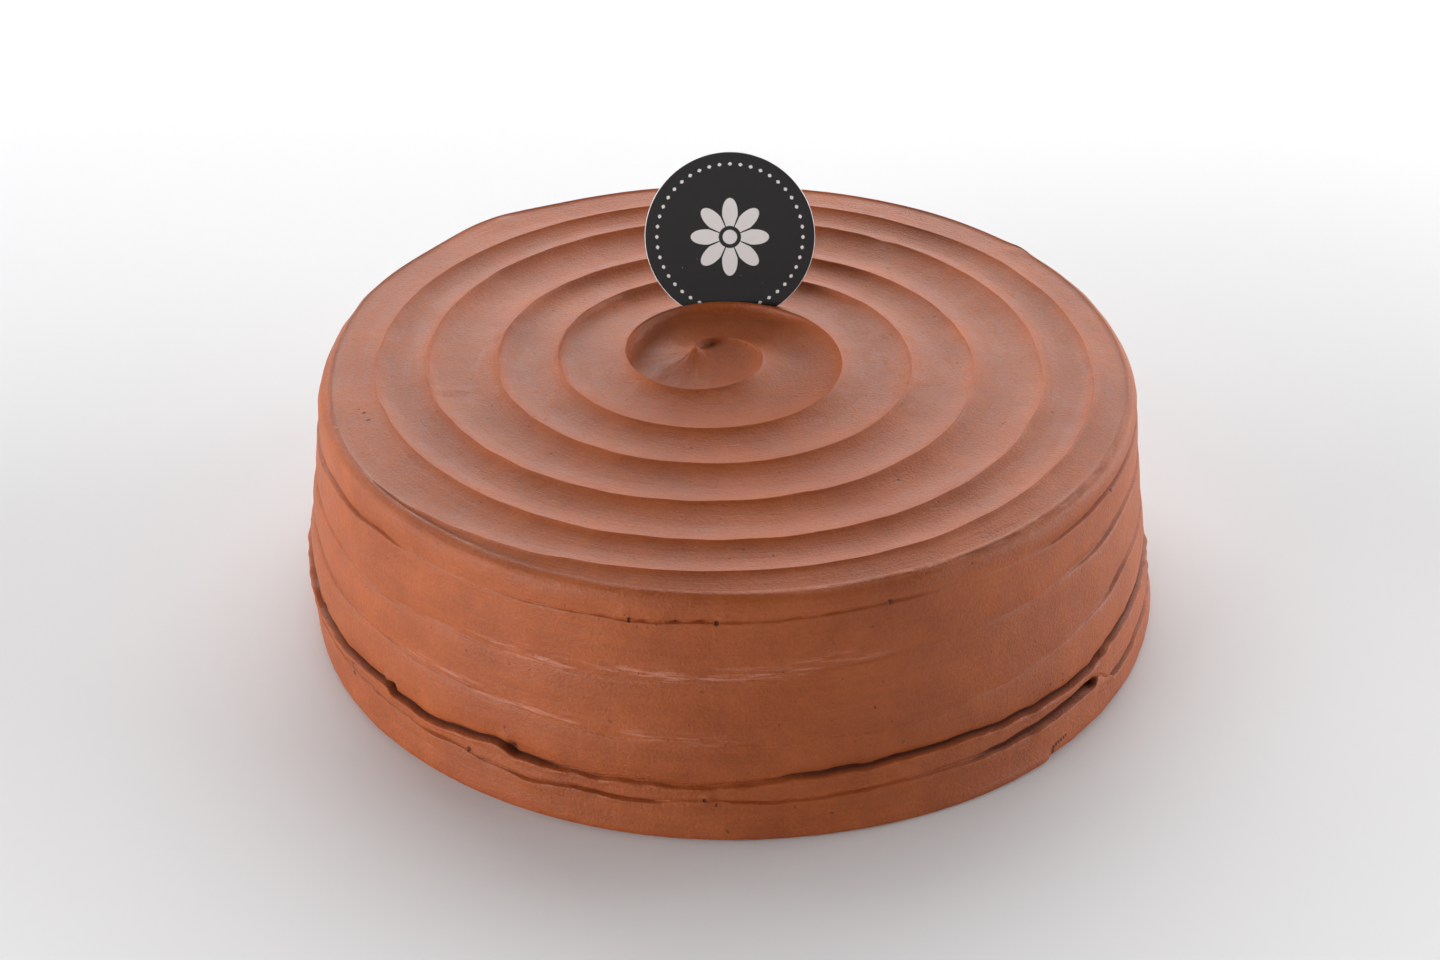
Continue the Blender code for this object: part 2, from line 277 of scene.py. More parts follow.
# Room for a line's rows: share of the distance to the next line, and least and most reach
LINES_APART = 3.0
ROWS_CLEAR = 2.0
SHARE_ABOVE = 0.6
SHARE_BELOW = 0.3
LEAST_REACH = 0.2
MOST_ABOVE = 10.0
MOST_BELOW = 2.0

# Rows from the rim into the side: drop below the rim, share of the way out to the shoulder, and how
# far the unevenness and the crease under the rim move them
RIM_ROWS = (
    (0.3, 0.26, 0.5, 0.0),
    (0.5, 0.36, 1.0, -0.8),
    (0.62, 0.44, 1.0, -1.2),
    (0.75, 0.52, 1.0, 0.18),
    (1.3, 0.72, 1.0, 0.1),
    (2.2, 0.9, 0.5, 0.0),
)
RIM_UNEVEN = 0.12
CREASE_SPANS = ((-60, -22, 8), (60, 120, 10))
CREASE_LEVEL = 0.6
CREASE_SWING = 0.7
CREASE_MOST = 1.4

# Rows at the foot: height, how far out, and their share of the fine wobble
FOOT_ROWS = (
    (2.0, 0.25, 0.0),
    (0.9, 0.15, 0.5),
    (0.3, -0.35, 0.0),
    (0.0, -1.1, 0.0),
)

# Uneven patches on the side: height, seed, number round the cake and size; they fade at rim and foot
SIDE_PATCHES = (
    (0.1, 21, 54, 9.0),
    (0.05, 22, 130, 3.5),
)
SIDE_PATCH_TOP = 70.5
SIDE_PATCH_FADE = 3.0

# Torn bits, bubbles and hollows on the side: angle, height, half width and how far out, in mm
SIDE_SPOTS = (
    (-158.5, 17.6, 1.6, -1.3),
    (-137.5, 17.0, 1.3, -1.0),
    (-138.5, 18.8, 1.4, 0.9),
    (-117.0, 17.2, 1.4, -1.1),
    (-118.0, 19.8, 1.5, 0.8),
    (-92.0, 12.8, 1.5, 0.6),
    (-102.5, 64.4, 1.4, 0.35),
    (-90.0, 65.0, 1.6, 0.3),
)

# Painted shade in the side's hollows, darker with their depth and kept off the rim and foot, and bands of
# painted highlight on the pale smears, as line, spans, height over the line, half width and strength
HOLLOW_SHADE_START = 1.3
HOLLOW_SHADE_FADE = 0.8
HOLLOW_SHADE_TOP = 69.0
HOLLOW_SHADE_TOP_FADE = 2.0
HOLLOW_SHADE_FOOT = 1.5
SMEAR_SHEEN_BANDS = (
    (LINE_2, ((-124, -72, 10), (40, 80, 10)), 1.6, 1.9, 1.0),
    (LINE_3, ((-134, -90, 12), (110, 150, 10)), 1.4, 1.5, 0.8),
)

# Pinholes in the side's relief, with painted shade in its colour: angle, height and radius in mm
SIDE_PINHOLES = (
    (-158.4, 17.6, 0.9),
    (-146.5, 13.6, 0.8),
    (-146.0, 11.2, 0.8),
    (-137.2, 17.0, 0.9),
    (-117.2, 17.3, 1.1),
    (-123.0, 12.2, 0.9),
    (-104.5, 11.0, 0.6),
    (-92.3, 12.2, 0.8),
    (-91.0, 10.9, 0.5),
    (-101.8, 63.0, 0.8),
    (-91.0, 63.7, 0.8),
    (-69.3, 65.2, 0.8),
    (-28.0, 63.4, 0.7),
    (-71.5, 35.0, 0.5),
)
# Short crack up from the foot at the front right, as a run of such holes
FOOT_CRACK = (
    (-46.2, 0.8, 0.9),
    (-46.2, 1.5, 0.9),
    (-46.2, 2.2, 0.9),
    (-46.0, 2.9, 0.9),
    (-45.5, 3.3, 0.8),
    (-45.0, 3.5, 0.8),
    (-44.5, 3.6, 0.8),
    (-44.0, 3.7, 0.7),
    (-43.5, 3.9, 0.6),
)
# Pinholes on the top, also with painted shade: distance from the middle, angle and radius in mm
TOP_PINHOLES = (
    (106.4, -164.2, 0.7),
    (106.0, -161.9, 0.75),
    (107.6, -165.6, 0.4),
)
PINHOLE_CORE = 0.55

# Colours of the buttercream and of its painted shade and painted highlight, and each texture's share in its
# tone and relief
DARK_CHOCOLATE = (0.268, 0.056, 0.0115, 1.0)
PALE_CHOCOLATE = (0.435, 0.105, 0.0245, 1.0)
PAINTED_SHADE_COLOUR = (0.07, 0.014, 0.007, 1.0)
SMEAR_SHEEN_COLOUR = (0.55, 0.22, 0.15, 1.0)
TONE_SHARES = (("mottle", 0.34), ("cloud", 0.2), ("streak", 0.16), ("grain", 0.3))
RELIEF_SHARES = (
    ("cloud", 1.0), ("pit", -1.5), ("streak", 0.6), ("thread", 0.35), ("grain", 0.9), ("hole", -0.4),
)
RELIEF_HEIGHT = 0.00025
HOLE_SHADE = 0.5
HOLLOW_SHADE_STRENGTH = 0.88
PIT_SHADE = 0.8

# Round tag, leaning back by TAG_LEAN degrees
TAG_RADIUS = 0.0259
TAG_LEAN = 18.0
TAG_EDGE = 0.00018
TAG_EDGE_SOFT = 0.00006
TAG_DOT_RING = 0.0222
TAG_DOTS = 44.0
TAG_DOT_LENGTH = 0.0007
TAG_DOT_EDGE = (0.00045, 0.0006)
TAG_PETALS = 8.0
TAG_PETAL_START = 0.0058
TAG_PETAL_LENGTH = 0.0062
TAG_PETAL_SOFT = 0.0002
TAG_PETAL_GAP = (0.16, 0.2)
TAG_HEART_GAP = (0.0033, 0.0035)
TAG_HEART = (0.0021, 0.0023)
TAG_FRONT = (-0.0004, -0.0003)
TAG_BLACK = (0.03, 0.031, 0.032, 1.0)
TAG_GREY = (0.039, 0.04, 0.042, 1.0)
TAG_WHITE = (0.9, 0.9, 0.9, 1.0)
TAG_FIBRE_HEIGHT = 0.00002

# Floor, from pale in front to greyer behind, as painted light that evens out how the softboxes light it
FLOOR_SIZE = 6.0
FLOOR_FRONT_PAINTED = (0.91, 0.91, 0.92, 1.0)
FLOOR_BACK_PAINTED = (0.67, 0.67, 0.68, 1.0)
FLOOR_CHANGE = (-0.3, 0.05)

# Studio: each light's name, place, width and height, and watts
LIGHT_TARGET = (0, 0, 0.04)
SOFTBOXES = (
    ("back_softbox", (-0.1, 1.5, 0.7), (2.4, 0.8), 28.5),
    ("high_softbox", (0.0, 1.0, 1.5), (2.0, 1.0), 12.0),
    ("left_softbox", (-1.6, 0.1, 0.45), (1.5, 0.8), 13.5),
    ("front_left_softbox", (-1.42, -1.08, 0.4), (1.0, 0.7), 21.5),
    ("right_softbox", (1.6, 0.1, 0.45), (1.5, 0.8), 21.0),
    ("back_right_softbox", (1.3, 0.9, 0.45), (1.2, 0.7), 8.0),
)
WORLD_STRENGTH = 0.01

# Camera, looking down by CAMERA_DOWN degrees
CAMERA_PLACE = (-0.0013, -0.6383, 0.4366)
CAMERA_DOWN = 32.44
CAMERA_LENS = 62.5
CAMERA_SENSOR = 36.0


def smooth_step(value):
    """Ease from 0 to 1 as value goes from 0 to 1."""
    value = np.clip(value, 0.0, 1.0)
    return value * value * (3.0 - 2.0 * value)


def wave(angle, count, phase):
    """A sine that repeats count times round the cake."""
    return np.sin(np.radians(count * angle + phase))


def bell(value):
    """1 at 0, falling smoothly to 0 on both sides."""
    return np.exp(-value ** 2)


def signed_angle(angle, middle):
    """Angle from middle, between -180 and 180."""
    return np.mod(angle - middle + 180.0, 360.0) - 180.0


def around(angle, *spans):
    """1 within the spans of (from, to, fade) degrees and 0 away from them."""
    total = np.zeros_like(angle, dtype=float)
    for start, end, fade in spans:
        off = np.abs(signed_angle(angle, 0.5 * (start + end))) - 0.5 * (end - start)
        total = np.maximum(total, 1.0 - smooth_step(off / fade + 0.5))
    return total


def through(angle, marks):
    """Value round the cake through given marks of (angle, value), closed and smooth."""
    marks = sorted((a % 360.0, v) for a, v in marks)
    places = np.array([a for a, _ in marks])
    values = np.array([v for _, v in marks])
    places = np.concatenate((places[-2:] - 360.0, places, places[:2] + 360.0))
    values = np.concatenate((values[-2:], values, values[:2]))
    wrapped = np.mod(angle, 360.0)
    index = np.clip(np.searchsorted(places, wrapped, side="right") - 1, 0, len(places) - 2)
    part = (wrapped - places[index]) / (places[index + 1] - places[index])
    return values[index] + (values[index + 1] - values[index]) * smooth_step(part)


def curve_between(part, start, start_slope, end, end_slope):
    """Smooth curve from start to end with the slopes there, as part goes from 0 to 1."""
    square, cube = part ** 2, part ** 3
    return (
        (2 * cube - 3 * square + 1) * start
        + (cube - 2 * square + part) * start_slope
        + (3 * square - 2 * cube) * end
        + (cube - square) * end_slope
    )


def ripple(angle, seed, lowest, highest, fall=1.0):
    """Uneven wobble round the cake, of size about 1, made of sines with seeded phases."""
    draw = np.random.default_rng(seed)
    total = np.zeros_like(angle, dtype=float)
    weight = 0.0
    for count in range(lowest, highest + 1):
        size = (lowest / count) ** fall
        total += size * wave(angle, count, draw.uniform(0, 360))
        weight += size * size
    return total / math.sqrt(0.5 * weight)


def patches(angle, across, seed, cells, pitch):
    """Smooth uneven patches, of size about 1: cells of them round the cake, one each pitch across."""
    draw = np.random.default_rng(seed)
    table = draw.uniform(-1, 1, (cells, PATCH_ROWS))
    along = angle / 360.0 * cells
    over = across / pitch
    i, j = np.floor(along).astype(int), np.floor(over).astype(int)
    a, b = smooth_step(along - i), smooth_step(over - j)

    def corner(di, dj):
        return table[(i + di) % cells, (j + dj) % PATCH_ROWS]

    low = corner(0, 0) * (1 - a) + corner(1, 0) * a
    high = corner(0, 1) * (1 - a) + corner(1, 1) * a
    return (low * (1 - b) + high * b) * PATCH_GAIN


def at_back(angle):
    """1 along the back of the cake and 0 at its front and sides."""
    return smooth_step((wave(angle, 1, 0) - BACK_START) / BACK_FADE)


def rim_radius(angle):
    """Radius at which the top turns down into the side: uneven, with bulges at the back."""
    sway = sum(size * wave(angle, count, phase) for size, count, phase in RIM_WAVES)
    bulge = sum(out * bell(signed_angle(angle, middle) / width) for middle, width, out in RIM_BULGES)
    return TOP_RADIUS + sway + RIM_BACK_OUT * at_back(angle) + bulge


def rim_roll(angle):
    """How far the top bends down at the rim."""
    return RIM_ROLL * (1.0 - RIM_BACK_FLATTER * at_back(angle))


def crest_radius(turn):
    """Radius of the crest after turn degrees: a smooth curve through the quarter turns."""
    last = len(CREST_RADII) - 1
    place = np.clip((turn - CREST_START) / QUARTER, 0.0, last)
    index = np.minimum(place.astype(int), last - 1)
    before = CREST_RADII[np.maximum(index - 1, 0)]
    start = CREST_RADII[index]
    end = CREST_RADII[index + 1]
    after = CREST_RADII[np.minimum(index + 2, last)]
    return curve_between(place - index, start, 0.5 * (end - before), end, 0.5 * (after - start))


def crest_points(turn):
    """Points on the spiral's crest; outside the rim they run along the rim."""
    rim = rim_radius(turn)
    radius = crest_radius(turn)
    rag = CREST_RAG * ripple(turn * CREST_RAG_STRETCH, *CREST_RAG_RIPPLE)
    radius = radius + rag * smooth_step((radius - CREST_RAG_START) / CREST_RAG_FADE)
    radius = np.where((rim - radius < RIM_SNAP) | (turn < CREST_START), rim, radius)
    at_peak = (turn >= CREST_END) | (radius < PEAK_SNAP)
    turn = np.where(at_peak, CREST_END, turn)
    radius = np.where(at_peak, 0.0, radius)
    inside = smooth_step((rim - radius) / RIM_FADE)
    shift = smooth_step((turn - PEAK_TURN_START) / (CREST_END - PEAK_TURN_START))
    angle = np.radians(np.mod(turn, 360.0))
    uneven = CREST_SWAY * wave(turn, 2, CREST_SWAY_PHASE) * inside * (1.0 - shift)
    drop = (RIM_DROP - RIM_BACK_RISE * at_back(turn)) * (1.0 - inside)
    return np.stack((
        shift * PEAK[0] + radius * np.cos(angle),
        shift * PEAK[1] + radius * np.sin(angle),
        HEIGHT - drop + uneven + CREST_BURR * inside,
    ), axis=-1)


def hollow_depth(turn, share, width):
    """Depth of the hollow between two crests, at each share of the way across it."""
    fullness = np.minimum(width / SCALLOP_WIDTH, SCALLOP_MOST)
    at_rim = smooth_step((turn - RIM_BAND_END) / RIM_BAND_FADE)
    rim_depth = RIM_BAND_DEPTH + RIM_BAND_FRONT * smooth_step((FRONT_BAND_START - turn) / FRONT_BAND_FADE)
    depth = SCALLOP_DEPTH * fullness * (rim_depth + (1.0 - rim_depth) * at_rim)
    left_wall = smooth_step((turn - LEFT_WALL_START) / LEFT_WALL_COMES)
    left_wall = left_wall * smooth_step((LEFT_WALL_END - turn) / LEFT_WALL_GOES)
    lean = share ** (1.0 - LEFT_WALL_LEAN * left_wall)
    return depth * (1.0 + LEFT_WALL_DEEPER * left_wall) * 4.0 * lean * (1.0 - lean)


def wall_depth(turn, crest, from_crest, inwards):
    """Extra depth close behind the crests at the back left, where they drop steeply."""
    near_middle = smooth_step((WALL_STRONGER_END - crest) / WALL_STRONGER_FADE)
    depth = WALL_DROP * around(turn, WALL_SPAN) * smooth_step(crest / WALL_FADE)
    depth = depth * smooth_step((WALL_OUTER_END - crest) / WALL_FADE) * (1.0 + WALL_STRONGER * near_middle)
    return depth * (1.0 - np.exp(-from_crest / WALL_EDGE)) * bell(inwards / WALL_REACH)


def top_surface():
    """Grid of points over the whole top: one column for each step of the turn, rows from crest to crest."""
    turn = np.concatenate([ANGLES + 360.0 * k for k in STRIP_TURNS])
    turn = turn[turn < CREST_END + 1.0][:, None]
    outer = crest_points(turn[:, 0])[:, None, :]
    inner = crest_points(turn[:, 0] + 360.0)[:, None, :]
    share = np.array(SCALLOP_SHARES)[None, :]
    points = outer * (1.0 - share[..., None]) + inner * share[..., None]
    width = np.linalg.norm(inner - outer, axis=-1)
    from_crest = np.minimum(share, 1.0 - share) * width
    crest = np.hypot(outer[..., 0], outer[..., 1])
    burr = CREST_BURR * (1.0 - np.exp(-from_crest / CREST_BURR_WIDTH)) * (share > 0) * (share < 1)
    dip = hollow_depth(turn, share, width) + wall_depth(turn, crest, from_crest, share * width)
    points[..., 2] -= dip + burr
    from_rim = (rim_radius(turn) - np.hypot(points[..., 0], points[..., 1])) / RIM_ROLL_WIDTH
    points[..., 2] -= rim_roll(turn) * bell(np.maximum(from_rim, 0.0))
    away = np.hypot(points[..., 0] - PEAK[0], points[..., 1] - PEAK[1])
    points[..., 2] += PEAK_RISE * np.maximum(1.0 - away / PEAK_REACH, 0.0) ** 2
    turns = turn / 360.0 + share
    angle = np.broadcast_to(turn, turns.shape)
    across = turns * SCALLOP_WIDTH
    free = smooth_step(from_crest / TOP_PATCH_FROM_CREST) * smooth_step(from_rim / TOP_PATCH_FROM_RIM)
    points[..., 2] += free * TOP_PATCH_HEIGHT * patches(angle, across + TOP_PATCH_START, *TOP_PATCHES)
    for spot_radius, spot_angle, half_length, half_width, high in TOP_SPOTS:
        spot = np.radians(spot_angle)
        outwards = points[..., 0] * np.cos(spot) + points[..., 1] * np.sin(spot) - spot_radius
        along = points[..., 1] * np.cos(spot) - points[..., 0] * np.sin(spot)
        points[..., 2] += high * np.exp(-(outwards / half_width) ** 2 - (along / half_length) ** 2)
    return points, angle, across


def flank_radius(angle, height):
    """Radius of the smooth side, which widens downwards and sits back at the left of the foot."""
    sideways = FLANK_TO_RIGHT * np.cos(np.radians(angle))
    lip = LIP_RADIUS + sideways
    part = np.clip((HEIGHT - height) / (HEIGHT - LIP_HEIGHT), 0.0, None)
    upper = SHOULDER_RADIUS + sideways + (LIP_RADIUS - SHOULDER_RADIUS) * part ** FLANK_BEND
    set_back = SET_BACK * bell(signed_angle(angle, SET_BACK_ANGLE) / SET_BACK_WIDTH)
    foot = FOOT_RADIUS + FOOT_SHIFT * wave(angle, 1, FOOT_SHIFT_PHASE) - set_back
    tongue = smooth_step((angle - TONGUE_START) / TONGUE_GROWS)
    tongue = tongue * smooth_step((TONGUE_END - angle) / TONGUE_EDGE)
    lower = foot + (lip - foot) * np.clip(height / LIP_HEIGHT, 0.0, 1.0) ** FOOT_BEND
    lower = lower + TONGUE_OUT * tongue * (1.0 - smooth_step((height - TONGUE_FLAT) / TONGUE_FADE))
    return np.where(height > LIP_HEIGHT, upper, lower)


def seam(under, crack, lip, gap, torn, soft=0.0, smear_high=0.0, smear_low=0.0):
    """Rows across a line: offset up from it, reach added where there is room, and how far out.

    The band above tapers in by under, a crack may open below it, and the next band starts with a lip.
    Where it is soft the two bands blend instead, without a sharp ledge.
    """
    edge = 1.0 + gap
    sink = 0.3 * crack
    return (
        (edge, 10.0, -0.03 * under),
        (edge, 6.5, -0.13 * under),
        (edge, 4.0, -0.3 * under),
        (edge, 2.4, -0.46 * under),
        (edge, 1.8, -0.53 * under + smear_high),
        (edge, 1.2, -0.6 * under),
        (edge, 0.5, -0.71 * under + smear_low),
        (0.75 + gap, 0.0, -0.84 * under + 0.4 * torn),
        (0.3 + gap, 0.0, -under - 0.12 * crack + 0.6 * torn),
        (0.14 + 0.8 * gap, 0.0, -under - 0.8 * crack),
        (0.02 + 0.4 * gap - 0.6 * sink, 0.0, -under - crack),
        (-0.12 - sink, 0.0, -(0.7 + 0.25 * soft) * under - 0.9 * crack),
        (-0.25, 0.0, -(0.1 + 0.8 * soft) * under + 0.3 * lip + torn),
        (-0.5, 0.0, -0.8 * soft * under + lip + torn),
        (-1.0, -0.1, -0.5 * soft * under + 0.75 * lip + 0.4 * torn),
        (-1.0, -2.0, -0.1 * soft * under + 0.2 * lip),
    )


def soft_seam(step, clear, strength, gap, fine, under, smear, bits, bits_low):
    """Rows across one of the two soft lines, clearer at the right of the cake and smeared with bits."""
    return seam(
        under=(under + 0.9 * step) * strength,
        crack=0.4 * step * clear,
        lip=0.1,
        gap=gap,
        torn=0.4 * fine,
        soft=0.9 - 0.2 * step - 0.3 * clear,
        smear_high=smear * bits,
        smear_low=smear * bits_low,
    )


def side_curves(angle):
    """Curves round the side from its first line to the foot, each as height and how far it stands out."""
    fine = FINE_SIZE * ripple(angle, *FINE_RIPPLE)
    level = np.ones_like(angle)
    heights = [through(angle, marks) + size * ripple(angle, *draw) for marks, size, draw in LINES]
    bits = np.clip(ripple(angle, *BITS_RIPPLE), 0.0, BITS_MOST)
    bits_low = np.clip(ripple(angle, *LOW_BITS_RIPPLE), 0.0, BITS_MOST)
    strength = 1.0 + 0.2 * ripple(angle, *STRENGTH_RIPPLE)
    torn = TORN_SIZE * ripple(angle, *TORN_RIPPLE)
    broken = np.clip(0.5 + 0.6 * ripple(angle, *BROKEN_RIPPLE), 0.0, 1.0) * around(angle, *BROKEN_5)
    torn_1 = np.maximum(0.35 * around(angle, FAINT_TEAR_1), around(angle, *TEARS_1))
    step_1 = around(angle, *STEPS_1)
    step_2 = np.maximum(0.6 * around(angle, LEFT_STEP_2), around(angle, *STEPS_2))
    step_3 = np.maximum(0.8 * around(angle, LEFT_STEP_3), around(angle, *STEPS_3))
    smear_2 = around(angle, *SMEARS_2)
    smear_3 = around(angle, *SMEARS_3)
    clear = around(angle, CLEAR_AT_RIGHT)
    left = around(angle, LEFT_TEAR_4)
    right = around(angle, RIGHT_TEAR_4)
    opening = smooth_step((angle - OPENING_START) / OPENING_GROWS) * around(angle, OPENING_5)
    stretch = around(angle, NEXT_STRETCH_5)
    gaps = (
        0.1 * step_1 + 0.2 * torn_1 * bits,
        0.35 * step_2,
        0.3 * step_3,
        0.15 + 0.15 * left * strength + 0.35 * right,
        0.2 * broken + 2.3 * opening + 1.0 * stretch,
    )
    heights[3] = heights[3] - (0.6 + 1.5 * left + 1.2 * right)
    heights[4] = heights[4] - (0.3 + 0.4 * broken + 1.5 * opening + 1.9 * stretch)
    heights[3] = np.maximum(heights[3], heights[4] + gaps[4] + LINES_APART)
    lines = (
        seam(
            under=0.12 + 0.9 * step_1,
            crack=0.45 * step_1 + torn_1 * (0.35 + 0.6 * bits),
            lip=0.08 + 0.3 * torn_1,
            gap=gaps[0],
            torn=fine * (torn_1 + 0.2),
        ),
        soft_seam(step_2, clear, strength, gaps[1], fine, 0.3, 0.25 * smear_2, bits, bits_low),
        soft_seam(step_3, clear, strength, gaps[2], fine, 0.35, 0.15 * smear_3, bits, bits_low),
        seam(
            under=0.9 + 0.7 * left + 0.5 * right,
            crack=(0.8 + 0.8 * left + 0.7 * right) * strength,
            lip=0.3 + 0.15 * left,
            gap=gaps[3],
            torn=torn,
        ),
        seam(
            under=0.12 + 0.15 * opening + 0.3 * stretch,
            crack=0.3 + 1.2 * broken + 3.6 * opening + 3.2 * stretch,
            lip=0.12 + 0.2 * broken,
            gap=gaps[4],
            torn=0.8 * torn,
        ),
    )
    last = len(lines) - 1
    curves = []
    for i, line in enumerate(lines):
        above = heights[i - 1] if i else SHOULDER_HEIGHT
        below = heights[i + 1] + gaps[i + 1] if i < last else FOOT_ROWS[0][0]
        space_above = SHARE_ABOVE * (above - heights[i] - gaps[i] - ROWS_CLEAR)
        space_below = SHARE_BELOW * (heights[i] - below - ROWS_CLEAR)
        room_above = np.clip(space_above, LEAST_REACH, MOST_ABOVE) / MOST_ABOVE
        room_below = np.clip(space_below, LEAST_REACH, MOST_BELOW) / MOST_BELOW
        for offset, reach, out in line:
            room = room_above if reach > 0.0 else room_below
            curves.append((heights[i] + offset + reach * room, out * level))
    curves += [(height * level, out + share * fine) for height, out, share in FOOT_ROWS]
    return curves


def rows_through(curves):
    """Rows of (height, radius) smooth through the curves, about SIDE_ROW apart."""
    line = np.array(curves).transpose(0, 2, 1)
    gap = np.linalg.norm(line[1:] - line[:-1], axis=-1)[..., None] + 1e-9
    step = (line[1:] - line[:-1]) / gap
    slope = np.empty_like(line)
    slope[1:-1] = (step[:-1] * gap[1:] + step[1:] * gap[:-1]) / (gap[1:] + gap[:-1])
    slope[0], slope[-1] = step[0], step[-1]
    rows = []
    for i in range(len(line) - 1):
        count = max(1, int(round(float(np.median(gap[i])) / SIDE_ROW)))
        for k in range(count):
            rows.append(curve_between(
                k / count, line[i], slope[i] * gap[i], line[i + 1], slope[i + 1] * gap[i]
            ))
    rows.append(line[-1])
    return np.array(rows)


def painted_side_light(angle, height, radius):
    """Painted light on the side: 1 for painted shade deep in its hollows, 0 on its surface and below 0 for
    a painted highlight where a pale smear lies on it.
    """
    depth = flank_radius(angle, height) - radius
    shade_minus_sheen = np.clip((depth - HOLLOW_SHADE_START) / HOLLOW_SHADE_FADE, 0.0, 1.0)
    # Painted highlight on the pale smears, as values below 0
    for line, spans, over, half_width, strength in SMEAR_SHEEN_BANDS:
        off = (height - through(angle, line) - over) / half_width
        shade_minus_sheen = shade_minus_sheen - strength * around(angle, *spans) * bell(off)
    shade_minus_sheen = shade_minus_sheen * smooth_step((HOLLOW_SHADE_TOP - height) / HOLLOW_SHADE_TOP_FADE)
    return shade_minus_sheen * smooth_step((height - HOLLOW_SHADE_FOOT) / HOLLOW_SHADE_FOOT)


def side_surface():
    """Grid of points over the side, from the rim to the underside's edge, smooth through its curves."""
    rim = crest_points(ANGLES - 720.0)
    rim[:, 2] -= rim_roll(ANGLES)
    rim_r = np.hypot(rim[:, 0], rim[:, 1])
    width = flank_radius(ANGLES, SHOULDER_HEIGHT) - rim_r
    crease = np.clip(CREASE_LEVEL + CREASE_SWING * ripple(ANGLES, *CREASE_RIPPLE), 0.0, CREASE_MOST)
    crease = around(ANGLES, *CREASE_SPANS) * crease
    uneven = RIM_UNEVEN * ripple(ANGLES, *UNEVEN_RIPPLE)
    curves = [(rim[:, 2], rim_r)]
    for drop, share, of_uneven, of_crease in RIM_ROWS:
        out = share * width + of_uneven * uneven + of_crease * crease
        curves.append((rim[:, 2] - drop, rim_r + out))
    curves += [(z, flank_radius(ANGLES, z) + out) for z, out in side_curves(ANGLES)]
    grid = rows_through(curves)
    height, radius = grid[..., 0], grid[..., 1]
    angles = np.broadcast_to(ANGLES[None, :], height.shape)
    free = smooth_step((SIDE_PATCH_TOP - height) / SIDE_PATCH_FADE) * smooth_step(height / SIDE_PATCH_FADE)
    radius += free * sum(high * patches(angles, height, *draw) for high, *draw in SIDE_PATCHES)
    for spot_angle, spot_height, half_width, out in SIDE_SPOTS:
        along = np.radians(signed_angle(angles, spot_angle)) * LIP_RADIUS
        radius += out * bell(np.hypot(along, height - spot_height) / half_width)
    turned = np.radians(angles)
    points = np.stack((radius * np.cos(turned), radius * np.sin(turned), height), axis=-1)
    points[0] = rim
    return points, angles, points[..., 2], painted_side_light(angles, height, radius)


def grid_faces(first, rows, columns, closed):
    """Corner numbers of a grid's quads, its points counted row by row from first."""
    i, j = np.meshgrid(np.arange(rows - 1), np.arange(columns if closed else columns - 1), indexing="ij")
    k = (j + 1) % columns
    quads = np.stack((
        i * columns + j, (i + 1) * columns + j, (i + 1) * columns + k, i * columns + k,
    ), axis=-1)
    return first + quads.reshape(-1, 4)


def make_icing():
    """The icing as one closed mesh, with the fields that its material reads."""
    top, top_angle, top_over = top_surface()
    side, side_angle, side_over, side_shade_and_sheen = side_surface()
    top_rows, top_columns = top.shape[:2]
    side_rows, side_columns = side.shape[:2]
    points = np.concatenate((top.reshape(-1, 3), side.reshape(-1, 3))) * MM
    faces = np.concatenate((
        grid_faces(0, top_rows, top_columns, False),
        grid_faces(top_rows * top_columns, side_rows, side_columns, True)[:, ::-1],
    ))
    mesh = bpy.data.meshes.new("cake_icing")
    mesh.from_pydata(points.tolist(), [], faces.tolist())
    angle = np.radians(np.concatenate((top_angle.ravel(), side_angle.ravel())))
    over = np.concatenate((top_over.ravel(), side_over.ravel()))
    spread = np.stack((np.cos(angle), np.sin(angle), over), axis=-1)
    field = mesh.attributes.new("spread", "FLOAT_VECTOR", "POINT")
    field.data.foreach_set("vector", spread.ravel())
    # Painted shade in the side's hollows and painted highlight on its smears, as a field for the material
    shade_and_sheen = np.concatenate((np.zeros(top_angle.size), side_shade_and_sheen.ravel()))
    field = mesh.attributes.new("shade_and_sheen", "FLOAT", "POINT")
    field.data.foreach_set("value", shade_and_sheen)
    work = bmesh.new()
    work.from_mesh(mesh)
    bmesh.ops.remove_doubles(work, verts=work.verts, dist=WELD_DISTANCE * MM)
    bmesh.ops.dissolve_degenerate(work, edges=work.edges, dist=LEAST_EDGE * MM)
    bmesh.ops.holes_fill(work, edges=work.edges, sides=COLUMNS)
    bmesh.ops.recalc_face_normals(work, faces=work.faces)
    work.to_mesh(mesh)
    work.free()
    mesh.shade_smooth()
    icing = bpy.data.objects.new("cake_icing", mesh)
    bpy.context.scene.collection.objects.link(icing)
    return icing


def new_material(name):
    """A material with its Principled shader and its links."""
    material = bpy.data.materials.new(name)
    material.use_nodes = True
    return material, material.node_tree.nodes["Principled BSDF"], material.node_tree.links


def add_node(material, kind, inputs=(), **settings):
    """Add a shader node with its settings; inputs are pairs of socket and value or source socket."""
    node = material.node_tree.nodes.new(kind)
    for name, value in settings.items():
        setattr(node, name, value)
    for socket, value in inputs:
        if isinstance(value, bpy.types.NodeSocket):
            material.node_tree.links.new(value, node.inputs[socket])
        else:
            node.inputs[socket].default_value = value
    return node


def scaled(material, vector, scale):
    """The vector times a scale along each axis."""
    inputs = [(0, vector), (1, scale)]
    return add_node(material, "ShaderNodeVectorMath", inputs, operation="MULTIPLY").outputs[0]


